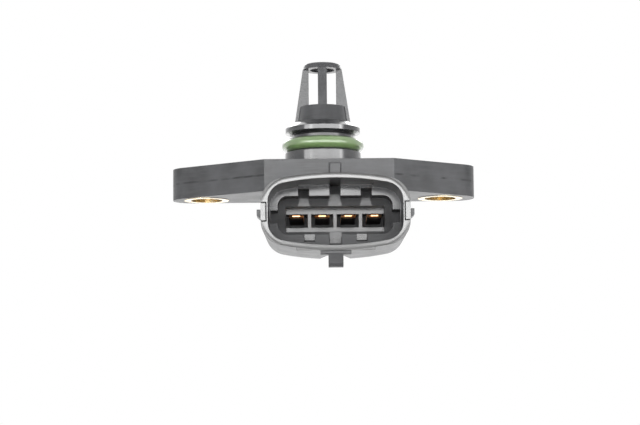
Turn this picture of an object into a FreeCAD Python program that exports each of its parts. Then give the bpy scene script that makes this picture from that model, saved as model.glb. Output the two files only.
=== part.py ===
import FreeCAD, Part
import math
import os
import re
import Sketcher

# Manifold pressure and temperature sensor, in millimetres.
# The origin is where the port's axis meets the seat face of the flange. +Z points along the port,
# into the manifold. The electrical connector points along -Y.

# Driving sizes: name, value, meaning.
SIZES = [
    ("flange_thickness", 6.4, "seat face to the underside of the wings"),
    ("flange_tip", 31.1, "port axis to each tip of the flange"),
    ("hole_offset", 24.1, "port axis to each mounting hole"),
    ("front_face", 14.6, "port axis to the flat front face"),
    ("front_left", 11.75, "port axis to the left end of the front face"),
    ("front_right", 14.15, "port axis to the right end of the front face"),
    ("wing_back", 5.2, "port axis to the straight back edge of the wings"),
    ("left_nose", 1.6, "height of the left wing's front line at the tip, forward of the hole"),
    ("right_nose", 2.7, "height of the right wing's front line at the tip, forward of the hole"),
    ("ear_front_radius", 5.0, "round of the wing tips in front"),
    ("ear_back_radius", 4.2, "round of the wing tips at the back"),

    ("bush_radius", 4.6, "outside of each bushing"),
    ("bush_bore", 3.25, "bore of each bushing"),
    ("bush_proud", 0.1, "how far a bushing stands out under the wing"),

    ("case_left", 10.3, "port axis to the left side of the case"),
    ("case_back", 9.2, "port axis to the back of the case"),
    ("case_depth", 16.0, "seat face to the bottom of the case"),
    ("case_corner", 2.2, "round of the case's back corners"),
    ("case_wall", 1.8, "side and back walls of the case"),
    ("case_front_wall", 2.0, "wall between the case's space and the connector"),
    ("roof", 3.6, "plastic over the case's space"),
    ("space_corner", 1.2, "round of the corners inside the case"),

    ("cover_thickness", 1.6, "rear cover"),
    ("cover_ledge", 0.9, "ledge that the cover lies on"),
    ("cover_gap", 0.08, "clearance round the cover"),
    ("cover_dish", 0.35, "depth of the shallow panel in the cover"),
    ("cover_frame", 2.2, "rim of the cover outside that panel"),
    ("seal_bead", 0.3, "thickness of the adhesive under the cover"),

    ("collar_foot", 7.92, "collar radius at the seat face"),
    ("collar_radius", 7.82, "collar radius at the groove"),
    ("collar_bevel", 0.3, "bevel of the collar's edge under the groove"),
    ("ring_section", 1.25, "section radius of the sealing ring"),
    ("ring_sides", 12, "sides that the sealing ring's section is drawn with"),
    ("ring_centre", 7.2, "radius of the sealing ring's centre line"),
    ("ring_height", 4.6, "seat face to the sealing ring's centre"),
    ("ring_gap", 0.02, "clearance of the sealing ring in its groove"),
    ("groove_top", 6.7, "seat face to the top of the groove"),
    ("disc_radius", 7.72, "disc over the groove"),
    ("disc_under_radius", 6.3, "radius of the disc where its slanting underside meets the groove"),
    ("disc_under_edge", 7.25, "seat face to the lower side of the disc's edge"),
    ("disc_edge", 8.2, "seat face to the top of the disc's edge"),
    ("disc_top", 9.5, "seat face to the top of the disc's cone"),
    ("fin_foot", 5.72, "radius of the side fins at the disc"),
    ("cup_foot", 5.2, "radius of the cup at the disc"),
    ("cup_radius", 4.7, "radius of the cup's edge"),
    ("cup_top", 12.75, "seat face to the cup's edge"),
    ("cap_foot", 4.04, "radius of the cap's lower edge"),
    ("cap_radius", 3.8, "radius of the cap under its round"),
    ("cap_bottom", 20.6, "seat face to the top of the windows"),
    ("cap_round", 0.15, "bevel of the cap's edge"),
    ("cap_top", 21.7, "seat face to the end of the port"),
    ("cap_dimple", 0.5, "depth of the hollow under the cap"),
    ("cap_dimple_radius", 2.5, "radius of that hollow"),
    ("rib_width", 1.84, "width of the four ribs of the cage"),
    ("port_bore", 3.0, "radius of the port's bore"),
    ("bore_floor", 1.2, "seat face to the floor of the port's bore"),
    ("pressure_hole", 0.7, "radius of the hole to the pressure cell"),
    ("pressure_hole_y", 1.9, "port axis to that hole"),

    ("connector_x", 2.2, "port axis to the connector's middle, sideways"),
    ("connector_z", 13.12, "seat face to the connector's middle"),
    ("rim_y", 36.8, "port axis to the connector's mouth"),
    ("rim_half_width", 14.05, "half the width of the mouth's rim"),
    ("rim_half_height", 7.3, "half the height of the mouth's rim"),
    ("rim_crown", 55.0, "radius of the rim's long sides"),
    ("rim_corner", 4.6, "radius of the rim's corners"),
    ("shroud_draft", 0.8, "draft of the shroud's outside, in degrees"),
    ("rim_wall", 0.92, "wall of the shroud above and below the mouth"),
    ("rim_side_wall", 1.3, "wall of the shroud at both ends of the mouth"),
    ("mouth_corner", 3.6, "round of the mouth's corners"),
    ("shroud_root", 0.6, "how far the shroud runs into the case's front wall"),
    ("mouth_depth", 9.0, "mouth to the keyed step"),
    ("step_depth", 4.4, "length of the keyed step"),
    ("well_depth", 3.4, "step's floor to the face with the pockets"),
    ("pocket_depth", 3.6, "depth of the pockets round the contacts"),
    ("step_half_width", 11.05, "half the width of the opening in the step"),
    ("step_half_height", 3.72, "half the height of the opening in the step"),
    ("step_corner", 1.9, "round of that opening's corners"),
    ("step_lift", 0.3, "how far that opening's middle lies above the connector's"),
    ("well_half_width", 9.6, "half the width of the well"),
    ("well_half_height", 2.5, "half the height of the well"),
    ("pocket_half_width", 2.15, "half the width of a pocket"),
    ("pocket_half_height", 1.3, "half the height of a pocket"),

    ("key_width", 2.1, "width of the key slots beside the middle"),
    ("key_rise", 1.4, "height of those slots"),
    ("top_key_left", 6.05, "middle of the connector to the top left slot"),
    ("top_key_right", 6.0, "middle of the connector to the top right slot"),
    ("bottom_key_left", 4.98, "middle of the connector to the bottom left slot"),
    ("bottom_key_right", 5.12, "middle of the connector to the bottom right slot"),
    ("middle_key_width", 2.1, "width of the top middle slot"),
    ("middle_key_rise", 2.45, "height of the top middle slot"),
    ("ceiling_reach", 5.6, "how far the top middle slot and the flat run towards the mouth"),
    ("ceiling_half_width", 7.2, "half the width of the flat in the mouth's ceiling"),
    ("ceiling_drop", 0.2, "top of the mouth to that flat"),
    ("lower_key_width", 2.4, "width of the bottom middle slot"),
    ("lower_key_rise", 2.0, "height of the bottom middle slot"),
    ("side_key_depth", 1.45, "depth of the slots at both ends"),
    ("side_key_height", 2.5, "height of the slots at both ends"),

    ("latch_width", 2.8, "latch nose under the connector"),
    ("latch_drop", 2.95, "height of the latch nose"),
    ("latch_length", 3.4, "length of the latch nose"),
    ("latch_setback", 0.9, "mouth to the latch nose"),
    ("latch_bevel", 0.5, "bevel at the latch nose's foot end"),
    ("latch_pad_width", 5.8, "pad that carries the latch nose"),
    ("latch_pad_drop", 0.5, "height of that pad"),
    ("lower_pad_half_width", 7.4, "half the width of the flat pad under the mouth"),
    ("lower_pad_drop", 0.06, "how far that pad stands out below the rim"),
    ("lower_pad_length", 5.4, "length of that pad"),
    ("relief_half_width", 4.0, "half the width of the hollow behind the latch nose"),
    ("relief_top_half_width", 1.6, "half the width of that hollow's inner face"),
    ("relief_depth", 1.0, "depth of that hollow"),
    ("relief_setback", 9.9, "mouth to that hollow"),
    ("top_rib_width", 2.4, "guide rib over the connector"),
    ("top_rib_rise", 2.2, "height of the guide rib"),
    ("top_rib_bevel", 0.3, "bevel of the guide rib's front end"),
    ("top_rib_setback", 1.2, "mouth to the guide rib"),
    ("side_rail_height", 3.3, "rails at both ends of the connector"),
    ("side_rail_proud", 0.05, "how far a rail stands out of the shroud"),
    ("side_rail_length", 12.0, "length of a rail"),
    ("side_slit", 0.22, "slit round the front end of each rail"),
    ("side_slit_place", 12.95, "connector's middle to the slit's inner side"),
    ("side_slit_depth", 1.5, "depth of that slit"),
    ("side_nub_rise", 0.52, "connector's middle to the top of each nub"),
    ("side_nub_fall", 0.62, "connector's middle to the lower edge of each nub"),
    ("side_nub_foot", 1.28, "connector's middle to the foot of each nub's slope"),
    ("side_nub_proud", 0.74, "how far a nub stands out of its rail"),
    ("side_nub_length", 4.0, "length of a nub"),
    ("side_nub_setback", 1.0, "mouth to a nub"),

    ("pin_pitch", 5.0, "distance between contacts"),
    ("pin_count", 4, "number of contacts"),
    ("blade_width", 2.8, "width of a blade"),
    ("blade_thickness", 0.8, "thickness of the contact strip"),
    ("blade_tip", 8.3, "mouth to the blade tips"),
    ("blade_tip_width", 1.4, "width of a blade at its tip"),
    ("blade_taper", 0.8, "length over which a blade narrows to its tip"),
    ("blade_bevel", 0.3, "bevel of the blade tips"),
    ("blade_root", 1.0, "length of blade held in the plastic"),
    ("tail_width", 1.4, "width of a contact behind its blade"),
    ("tail_end_width", 0.8, "width of a contact's end in the board"),
    ("tail_inset", 1.0, "front wall to a contact's upright leg"),
    ("tail_shoulder", 0.3, "gap between a contact's shoulder and the board"),
    ("tail_above", 0.6, "how far a contact's end stands out of the board"),

    ("board_top", 7.8, "seat face to the board's upper face"),
    ("board_thickness", 1.0, "circuit board"),
    ("board_gap", 0.45, "clearance round the board"),
    ("board_corner", 0.8, "round of the board's corners"),
    ("pin_hole", 1.0, "side of the board's square holes for the contacts"),
    ("post_side", 2.0, "side of the posts that the board is bonded to"),
    ("post_inset", 1.9, "case wall to a post's middle"),

    ("chamber_y", 3.2, "port axis to the middle of the pressure chamber"),
    ("chamber_half", 3.0, "half the side of the square pressure chamber"),
    ("chamber_wall", 0.9, "wall of the pressure chamber"),
    ("chamber_bond", 0.4, "adhesive between the chamber's wall and the board"),
    ("cell_radius", 2.4, "outside of the pressure cell's frame"),
    ("cell_wall", 0.4, "wall of the pressure cell's frame"),
    ("cell_height", 1.6, "height of the pressure cell's frame"),
    ("gel_below", 0.2, "frame's edge to the gel's surface"),
    ("pedestal_side", 1.5, "side of the glass pedestal"),
    ("pedestal_height", 0.6, "height of the glass pedestal"),
    ("die_height", 0.4, "height of the pressure sensing chip"),

    ("signal_chip_length", 5.0, "signal chip along X"),
    ("signal_chip_width", 4.0, "signal chip along Y"),
    ("signal_chip_height", 1.5, "signal chip's height"),
    ("signal_chip_x", 0.4, "port axis to the signal chip, sideways"),
    ("signal_chip_y", 4.6, "port axis to the signal chip, forward"),
    ("capacitor_length", 2.0, "capacitor along X"),
    ("capacitor_width", 1.25, "capacitor along Y"),
    ("capacitor_height", 1.1, "capacitor's height"),
    ("capacitor_y", 7.9, "port axis to the row of capacitors, forward"),
    ("resistor_length", 1.6, "resistor along X"),
    ("resistor_width", 0.8, "resistor along Y"),
    ("resistor_height", 0.5, "resistor's height"),
    ("resistor_y", 2.4, "port axis to the resistors, backward"),
    ("resistor_pitch", 3.6, "distance between the resistors"),

    ("lead_radius", 0.2, "thermistor lead"),
    ("lead_offset", 0.45, "port axis to each lead, sideways"),
    ("lead_back", 1.9, "port axis to the leads where they pass the floor, forward"),
    ("lead_low_bend", 3.0, "seat face to the lower bend of the leads"),
    ("lead_high_bend", 5.6, "seat face to the upper bend of the leads"),
    ("lead_above", 0.5, "how far a lead stands out under the board"),
    ("lead_hole", 0.32, "radius of the board's holes for the leads"),
    ("lead_well_depth", 1.2, "depth of the sealed well round the leads"),
    ("lead_well_half_width", 1.1, "half the width of that well"),
    ("lead_well_half_depth", 0.7, "half the depth of that well front to back"),
    ("bead_radius", 0.85, "thermistor bead"),
    ("bead_bottom", 15.0, "seat face to the bead's lower end"),
    ("bead_top", 18.0, "seat face to the bead's tip"),
    ("bead_shoulder", 0.5, "height of the bead's rounded ends"),
    ("bead_socket", 0.7, "length of lead inside the bead"),
]

ALIASES = {name for name, _, _ in SIZES}

# Positions that several pieces share, as formulas of the sizes.
CONNECTOR_Z = "-connector_z"
STEP_Z = "(-connector_z + step_lift)"
STEP_Y = "(rim_y - mouth_depth)"
WELL_Y = "(rim_y - mouth_depth - step_depth)"
FACE_Y = "(rim_y - mouth_depth - step_depth - well_depth)"
POCKET_Y = "(rim_y - mouth_depth - step_depth - well_depth - pocket_depth)"
SPACE_LEFT = "(-case_left + case_wall)"
SPACE_RIGHT = "(front_right - case_wall)"
SPACE_FRONT = "(-front_face + case_front_wall)"
SPACE_BACK = "(case_back - case_wall)"
BOARD_UNDER = "(-board_top - board_thickness)"
FIRST_PIN = "(connector_x - pin_pitch * (pin_count - 1) / 2)"
LEG_Y = "(-front_face + case_front_wall + tail_inset)"
COVER_TOP = "(-case_depth + cover_thickness)"

doc = FreeCAD.newDocument("pressure_sensor")
sheet = doc.addObject("Spreadsheet::Sheet", "Sizes")
for row, (name, size, meaning) in enumerate(SIZES, start=1):
    sheet.set("A%d" % row, meaning)
    sheet.set("B%d" % row, str(size))
    sheet.setAlias("B%d" % row, name)
doc.recompute()


def cells(formula):
    """A formula with each size's name pointing at its cell of the sheet."""
    return re.sub(r"[a-z][a-z_]*",
                  lambda word: "Sizes." + word.group() if word.group() in ALIASES else word.group(),
                  str(formula))


def value(formula):
    """What a formula of the sizes comes to, in millimetres or degrees."""
    result = sheet.evalExpression(cells(formula))
    return float(getattr(result, "Value", result))


def tie(owner, **properties):
    """Binds properties of an object to formulas of the sizes; a double underscore stands for a dot."""
    for name, formula in properties.items():
        owner.setExpression(name.replace("__", "."), cells(formula))


class Outline:
    """A sketch on a plane of its own body, with every corner tied to the sheet."""

    def __init__(self, body, name, plane, offset="0"):
        self.body = body
        self.sketch = body.newObject("Sketcher::SketchObject", name)
        support = [item for item in body.Origin.OriginFeatures if item.Role == plane][0]
        self.sketch.AttachmentSupport = (support, [""])
        self.sketch.MapMode = "FlatFace"
        tie(self.sketch, AttachmentOffset__Base__z=offset)

    def add(self, shape):
        return self.sketch.addGeometry(shape, False)

    def rule(self, *terms):
        return self.sketch.addConstraint(Sketcher.Constraint(*terms))

    def measure(self, kind, formula, *terms):
        """A dimension that follows a formula."""
        index = self.rule(kind, *terms, value(formula))
        self.sketch.setExpression("Constraints[%d]" % index, cells(formula))

    def place(self, item, point, across, up):
        """Ties one point of an item to the sketch's origin."""
        self.measure("DistanceX", across, -1, 1, item, point)
        self.measure("DistanceY", up, -1, 1, item, point)

    def polygon(self, corners):
        spots = [FreeCAD.Vector(value(across), value(up), 0) for across, up in corners]
        lines = [self.add(Part.LineSegment(start, end))
                 for start, end in zip(spots, spots[1:] + spots[:1])]
        for before, line in zip(lines[-1:] + lines[:-1], lines):
            self.rule("Coincident", before, 2, line, 1)
        for line, (across, up) in zip(lines, corners):
            self.place(line, 1, across, up)
        return self

    def rectangle(self, left, right, low, high):
        return self.polygon([(left, low), (right, low), (right, high), (left, high)])

    def circle(self, across, up, radius):
        centre = FreeCAD.Vector(value(across), value(up), 0)
        item = self.add(Part.Circle(centre, FreeCAD.Vector(0, 0, 1), value(radius)))
        self.measure("Radius", radius, item)
        self.place(item, 3, across, up)
        return self

    def arc(self, centre, radius, start, end):
        circle = Part.Circle(FreeCAD.Vector(*centre, 0), FreeCAD.Vector(0, 0, 1), radius)
        return self.add(Part.ArcOfCircle(circle, start, end))

    def close(self, items):
        """Joins the items end to end so that each runs smoothly into the next."""
        for item, following in zip(items, items[1:] + items[:1]):
            self.rule("Tangent", item, 2, following, 1)

    def rounded(self, left, right, low, high, radius):
        """A rectangle with round corners."""
        x0, x1, y0, y1, r = (value(term) for term in (left, right, low, high, radius))
        quarter = math.pi / 2
        line = lambda ax, ay, bx, by: self.add(
            Part.LineSegment(FreeCAD.Vector(ax, ay, 0), FreeCAD.Vector(bx, by, 0)))
        bottom = line(x0 + r, y0, x1 - r, y0)
        corner = [self.arc((x1 - r, y0 + r), r, -quarter, 0)]
        side = line(x1, y0 + r, x1, y1 - r)
        corner.append(self.arc((x1 - r, y1 - r), r, 0, quarter))
        top = line(x1 - r, y1, x0 + r, y1)
        corner.append(self.arc((x0 + r, y1 - r), r, quarter, 2 * quarter))
        other = line(x0, y1 - r, x0, y0 + r)
        corner.append(self.arc((x0 + r, y0 + r), r, 2 * quarter, 3 * quarter))
        self.close([bottom, corner[0], side, corner[1], top, corner[2], other, corner[3]])
        for item in (bottom, top):
            self.rule("Horizontal", item)
        for item in (side, other):
            self.rule("Vertical", item)
        self.measure("Radius", radius, corner[0])
        for item in corner[1:]:
            self.rule("Equal", corner[0], item)
        self.measure("DistanceX", left, -1, 1, other, 1)
        self.measure("DistanceX", right, -1, 1, side, 1)
        self.measure("DistanceY", low, -1, 1, bottom, 1)
        self.measure("DistanceY", high, -1, 1, top, 1)
        return self

    def barrel(self, across, up, half_width, half_height, crown, corner):
        """A wide outline with bulging long sides, straight ends and round corners."""
        x, y, a, b, big, r = (value(term) for term in
                              (across, up, half_width, half_height, crown, corner))
        reach = a - r
        lift = b - big + math.sqrt((big - r) ** 2 - reach ** 2)
        turn = math.atan2(lift - b + big, reach)
        full = math.pi
        line = lambda ax, ay, bx, by: self.add(
            Part.LineSegment(FreeCAD.Vector(x + ax, y + ay, 0), FreeCAD.Vector(x + bx, y + by, 0)))
        right = line(a, -lift, a, lift)
        upper_right = self.arc((x + reach, y + lift), r, 0, turn)
        top = self.arc((x, y + b - big), big, turn, full - turn)
        upper_left = self.arc((x - reach, y + lift), r, full - turn, full)
        left = line(-a, lift, -a, -lift)
        lower_left = self.arc((x - reach, y - lift), r, full, full + turn)
        bottom = self.arc((x, y - b + big), big, full + turn, 2 * full - turn)
        lower_right = self.arc((x + reach, y - lift), r, 2 * full - turn, 2 * full)
        self.close([right, upper_right, top, upper_left, left, lower_left, bottom, lower_right])
        sideways = "(%s - %s)" % (half_width, corner)
        upward = "(%s - %s + sqrt((%s - %s)^2 - %s^2))" % (half_height, crown, crown, corner, sideways)
        for item, east, north in ((upper_right, "+", "+"), (upper_left, "-", "+"),
                                  (lower_left, "-", "-"), (lower_right, "+", "-")):
            self.place(item, 3, "%s %s %s" % (across, east, sideways), "%s %s %s" % (up, north, upward))
            self.measure("Radius", corner, item)
        for item in (top, bottom):
            self.measure("Radius", crown, item)
        return self


def new_body(label):
    body = doc.addObject("PartDesign::Body", label)
    body.Label = label
    return body


def pad(outline, name, length, backward=False, both_ways=False, draft=None):
    """Adds plastic or metal from an outline."""
    feature = outline.body.newObject("PartDesign::Pad", name)
    feature.Profile = outline.sketch
    feature.Reversed = backward
    feature.Midplane = both_ways
    tie(feature, Length=length)
    if draft:
        tie(feature, TaperAngle=draft)
    doc.recompute()
    return feature


def pocket(outline, name, depth, backward=False, both_ways=False, draft=None):
    """Cuts an outline into what the body already is."""
    before = outline.body.Shape.Volume
    feature = outline.body.newObject("PartDesign::Pocket", name)
    feature.Profile = outline.sketch
    feature.Reversed = backward
    feature.Midplane = both_ways
    tie(feature, Length=depth)
    if draft:
        tie(feature, TaperAngle=draft)
    doc.recompute()
    if outline.body.Shape.Volume >= before:
        raise RuntimeError(name + " cuts nothing")
    return feature


def turn(outline, name, kind="PartDesign::Revolution"):
    """Turns an outline once round the sketch's upright axis."""
    feature = outline.body.newObject(kind, name)
    feature.Profile = outline.sketch
    feature.ReferenceAxis = (outline.sketch, ["V_Axis"])
    feature.Angle = 360
    doc.recompute()
    return feature


def repeat_along_pins(body, features, name):
    """Repeats features once for each contact."""
    axis = [item for item in body.Origin.OriginFeatures if item.Role == "X_Axis"][0]
    row = body.newObject("PartDesign::LinearPattern", name)
    row.Originals = features
    row.Direction = (axis, [""])
    tie(row, Length="pin_pitch * (pin_count - 1)", Occurrences="pin_count")
    body.Tip = row
    doc.recompute()
    return row


def edges_where(shape, test):
    """Names of the edges whose middle and direction pass a test."""
    names = []
    for number, edge in enumerate(shape.Edges, start=1):
        middle = edge.valueAt((edge.FirstParameter + edge.LastParameter) / 2)
        ends = [vertex.Point for vertex in edge.Vertexes]
        if len(ends) == 2 and test(middle, ends[0], ends[1]):
            names.append("Edge%d" % number)
    return names


def round_edges(body, name, edges, radius):
    base = body.Tip
    feature = body.newObject("PartDesign::Fillet", name)
    feature.Base = (base, edges)
    tie(feature, Radius=radius)
    doc.recompute()
    return feature


def bevel_edges(body, name, edges, size):
    base = body.Tip
    feature = body.newObject("PartDesign::Chamfer", name)
    feature.Base = (base, edges)
    tie(feature, Size=size)
    doc.recompute()
    return feature


# Housing: flange

def flange(body):
    """The wide plate with its two ears and a flat front face."""
    outline = Outline(body, "flange_outline", "XY_Plane")
    outline.polygon([("-front_left", "-front_face"),
                     ("front_right", "-front_face"),
                     ("flange_tip", "-right_nose"),
                     ("flange_tip", "wing_back"),
                     ("-flange_tip", "wing_back"),
                     ("-flange_tip", "-left_nose")])
    plate = pad(outline, "flange_plate", "flange_thickness", backward=True)
    tip = value("flange_tip")
    at_tip = lambda a, b: abs(abs(a.x) - tip) < 1e-4 and abs(a.z - b.z) > 1
    front = edges_where(plate.Shape, lambda m, a, b: at_tip(a, b) and m.y < 0)
    round_edges(body, "ear_fronts", front, "ear_front_radius")
    back = edges_where(body.Tip.Shape, lambda m, a, b: at_tip(a, b) and m.y > value("wing_back") - 0.01)
    round_edges(body, "ear_backs", back, "ear_back_radius")


# Housing: case

def case(body):
    """The box for the electronics, open at the bottom until the cover closes it."""
    outline = Outline(body, "case_outline", "XY_Plane")
    outline.rectangle("-case_left", "front_right", "-front_face", "case_back")
    block = pad(outline, "case_block", "case_depth", backward=True)
    back = value("case_back")
    upright = lambda a, b: abs(a.z - b.z) > 1
    corners = edges_where(block.Shape, lambda m, a, b: abs(m.y - back) < 1e-4 and upright(a, b))
    round_edges(body, "case_corners", corners, "case_corner")


def case_space(body):
    """The room for the board, the rebate for the cover and the glue ledge."""
    outline = Outline(body, "space_outline", "XY_Plane", offset="-case_depth")
    outline.rounded(SPACE_LEFT, SPACE_RIGHT, SPACE_FRONT, SPACE_BACK, "space_corner")
    pocket(outline, "space", "case_depth - roof", backward=True)
    rebate = Outline(body, "rebate_outline", "XY_Plane", offset="-case_depth")
    rebate.rounded(SPACE_LEFT + " - cover_ledge", SPACE_RIGHT + " + cover_ledge",
                   SPACE_FRONT + " - cover_ledge", SPACE_BACK + " + cover_ledge", "space_corner")
    pocket(rebate, "cover_rebate", "cover_thickness + seal_bead", backward=True)


def chamber_outline(body, name, height):
    """The chamber's wall in plan, which the adhesive on the board follows."""
    outline = Outline(body, name, "XY_Plane", offset=height)
    for reach in ("(chamber_half + chamber_wall)", "chamber_half"):
        outline.rectangle("-" + reach, reach, "chamber_y - " + reach, "chamber_y + " + reach)
    return outline


def chamber_and_posts(body):
    """The square wall round the pressure cell and the posts that the board is bonded to."""
    wall = chamber_outline(body, "chamber_outline", "-roof")
    pad(wall, "chamber", "board_top - chamber_bond - roof", backward=True)
    posts = Outline(body, "post_outline", "XY_Plane", offset="-roof")
    for across in (SPACE_LEFT + " + post_inset", SPACE_RIGHT + " - post_inset"):
        for along in (SPACE_FRONT + " + post_inset + tail_inset + blade_thickness",
                      SPACE_BACK + " - post_inset"):
            posts.rectangle(across + " - post_side / 2", across + " + post_side / 2",
                            along + " - post_side / 2", along + " + post_side / 2")
    pad(posts, "posts", "board_top - roof", backward=True)


# Housing: port with its collar, ring groove, disc and slotted cage

def port(body):
    """The turned form of the port, then its side fins, bore and windows."""
    outline = Outline(body, "port_outline", "XZ_Plane")
    outline.polygon([("0", "-roof / 2"),
                     ("collar_foot", "-roof / 2"),
                     ("collar_foot", "0"),
                     ("collar_radius", "ring_height - ring_section - ring_gap - collar_bevel"),
                     ("collar_radius - collar_bevel", "ring_height - ring_section - ring_gap"),
                     ("ring_centre - ring_section - ring_gap", "ring_height - ring_section - ring_gap"),
                     ("ring_centre - ring_section - ring_gap", "groove_top"),
                     ("disc_under_radius", "groove_top"),
                     ("disc_radius", "disc_under_edge"),
                     ("disc_radius", "disc_edge"),
                     ("fin_foot", "disc_top"),
                     ("cup_foot", "disc_top"),
                     ("cup_radius", "cup_top"),
                     ("cap_foot", "cap_bottom"),
                     ("cap_radius", "cap_top - cap_round"),
                     ("cap_radius - cap_round", "cap_top"),
                     ("0", "cap_top")])
    turn(outline, "port_body")
    fins = Outline(body, "fin_outline", "XZ_Plane")
    fins.polygon([("-fin_foot", "disc_top"),
                  ("fin_foot", "disc_top"),
                  ("cap_foot", "cap_bottom"),
                  ("-cap_foot", "cap_bottom")])
    pad(fins, "side_fins", "rib_width", both_ways=True)
    bore = Outline(body, "bore_outline", "XZ_Plane")
    bore.polygon([("0", "bore_floor"),
                  ("port_bore", "bore_floor"),
                  ("port_bore", "cap_bottom"),
                  ("cap_dimple_radius", "cap_bottom"),
                  ("cap_dimple_radius", "cap_bottom + cap_dimple"),
                  ("0", "cap_bottom + cap_dimple")])
    turn(bore, "bore", kind="PartDesign::Groove")
    windows = Outline(body, "window_outline", "XY_Plane", offset="cup_top")
    for left, right in (("rib_width / 2", "fin_foot"), ("-fin_foot", "-rib_width / 2")):
        for low, high in (("rib_width / 2", "fin_foot"), ("-fin_foot", "-rib_width / 2")):
            windows.rectangle(left, right, low, high)
    pocket(windows, "windows", "cap_bottom - cup_top", backward=True)


def port_passages(body):
    """The hole to the pressure chamber, the holes for the leads and their sealed well."""
    hole = Outline(body, "pressure_hole_outline", "XY_Plane", offset="bore_floor")
    hole.circle("0", "pressure_hole_y", "pressure_hole")
    pocket(hole, "pressure_passage", "bore_floor + roof")
    leads = Outline(body, "lead_hole_outline", "XY_Plane", offset="bore_floor")
    for across in ("-lead_offset", "lead_offset"):
        leads.circle(across, "-lead_back", "lead_radius")
    pocket(leads, "lead_holes", "bore_floor + roof")
    well = Outline(body, "lead_well_outline", "XY_Plane", offset="bore_floor")
    well.rectangle("-lead_well_half_width", "lead_well_half_width",
                   "-lead_back - lead_well_half_depth", "-lead_back + lead_well_half_depth")
    pocket(well, "lead_well", "lead_well_depth")


# Housing: connector shroud with its keyed socket

def shroud(body):
    """The barrel-shaped shroud, from the mouth back to the case."""
    outline = Outline(body, "shroud_outline", "XZ_Plane", offset="rim_y")
    outline.barrel("connector_x", CONNECTOR_Z, "rim_half_width", "rim_half_height",
                   "rim_crown", "rim_corner")
    pad(outline, "shroud_block", "rim_y - front_face + shroud_root", backward=True,
        draft="-shroud_draft")
    mouth = Outline(body, "mouth_outline", "XZ_Plane", offset="rim_y")
    mouth.barrel("connector_x", CONNECTOR_Z, "(rim_half_width - rim_side_wall)",
                 "(rim_half_height - rim_wall)", "(rim_crown - rim_wall)", "mouth_corner")
    pocket(mouth, "mouth", "mouth_depth", draft="-shroud_draft")
    ceiling = Outline(body, "ceiling_outline", "XZ_Plane", offset=STEP_Y + " + ceiling_reach")
    ceiling.rectangle("connector_x - ceiling_half_width", "connector_x + ceiling_half_width",
                      CONNECTOR_Z, CONNECTOR_Z + " + rim_half_height - rim_wall - ceiling_drop")
    pocket(ceiling, "ceiling_flat", "ceiling_reach")


def socket(body):
    """The keyed step, the well and the pockets round the contacts."""
    step = Outline(body, "step_outline", "XZ_Plane", offset=STEP_Y)
    step.rounded("connector_x - step_half_width", "connector_x + step_half_width",
                 STEP_Z + " - step_half_height", STEP_Z + " + step_half_height", "step_corner")
    pocket(step, "step_opening", "step_depth")
    for name, middle, width, low, high in key_slots():
        slot = Outline(body, name + "_outline", "XZ_Plane", offset=STEP_Y)
        slot.rectangle("%s - %s / 2" % (middle, width), "%s + %s / 2" % (middle, width), low, high)
        pocket(slot, name, "step_depth")
    channel = Outline(body, "channel_outline", "XZ_Plane", offset=STEP_Y + " + ceiling_reach")
    channel.rectangle("connector_x - middle_key_width / 2", "connector_x + middle_key_width / 2",
                      STEP_Z, STEP_Z + " + step_half_height + middle_key_rise")
    pocket(channel, "top_channel", "ceiling_reach + step_depth")
    well = Outline(body, "well_outline", "XZ_Plane", offset=WELL_Y)
    well.rectangle("connector_x - well_half_width", "connector_x + well_half_width",
                   CONNECTOR_Z + " - well_half_height", CONNECTOR_Z + " + well_half_height")
    pocket(well, "well", "well_depth")


def key_slots():
    """The slots that code the connector: name, middle, width, lower and upper limit."""
    top = STEP_Z + " + step_half_height"
    bottom = STEP_Z + " - step_half_height"
    for name, middle in (("top_left_key", "connector_x - top_key_left"),
                         ("top_right_key", "connector_x + top_key_right")):
        yield name, middle, "key_width", STEP_Z, top + " + key_rise"
    for name, middle in (("bottom_left_key", "connector_x - bottom_key_left"),
                         ("bottom_right_key", "connector_x + bottom_key_right")):
        yield name, middle, "key_width", bottom + " - key_rise", STEP_Z
    yield "bottom_middle_key", "connector_x", "lower_key_width", bottom + " - lower_key_rise", STEP_Z
    yield ("end_keys", "connector_x", "(2 * (step_half_width + side_key_depth))",
           CONNECTOR_Z + " - side_key_height / 2", CONNECTOR_Z + " + side_key_height / 2")


def contact_seats(body):
    """A pocket, a blade seat and a tail slot for each contact, repeated in a row."""
    around = Outline(body, "pocket_outline", "XZ_Plane", offset=FACE_Y)
    around.rectangle(FIRST_PIN + " - pocket_half_width", FIRST_PIN + " + pocket_half_width",
                     CONNECTOR_Z + " - pocket_half_height", CONNECTOR_Z + " + pocket_half_height")
    first = pocket(around, "contact_pocket", "pocket_depth")
    blade = Outline(body, "blade_seat_outline", "XZ_Plane", offset=POCKET_Y)
    blade.rectangle(FIRST_PIN + " - blade_width / 2", FIRST_PIN + " + blade_width / 2",
                    CONNECTOR_Z + " - blade_thickness / 2", CONNECTOR_Z + " + blade_thickness / 2")
    second = pocket(blade, "blade_seat", "blade_root")
    tail = Outline(body, "tail_slot_outline", "XZ_Plane", offset=POCKET_Y)
    tail.rectangle(FIRST_PIN + " - tail_width / 2", FIRST_PIN + " + tail_width / 2",
                   CONNECTOR_Z + " - blade_thickness / 2", CONNECTOR_Z + " + blade_thickness / 2")
    third = pocket(tail, "tail_slot", POCKET_Y + " - front_face + case_front_wall")
    repeat_along_pins(body, [first, second, third], "contact_row")


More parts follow.
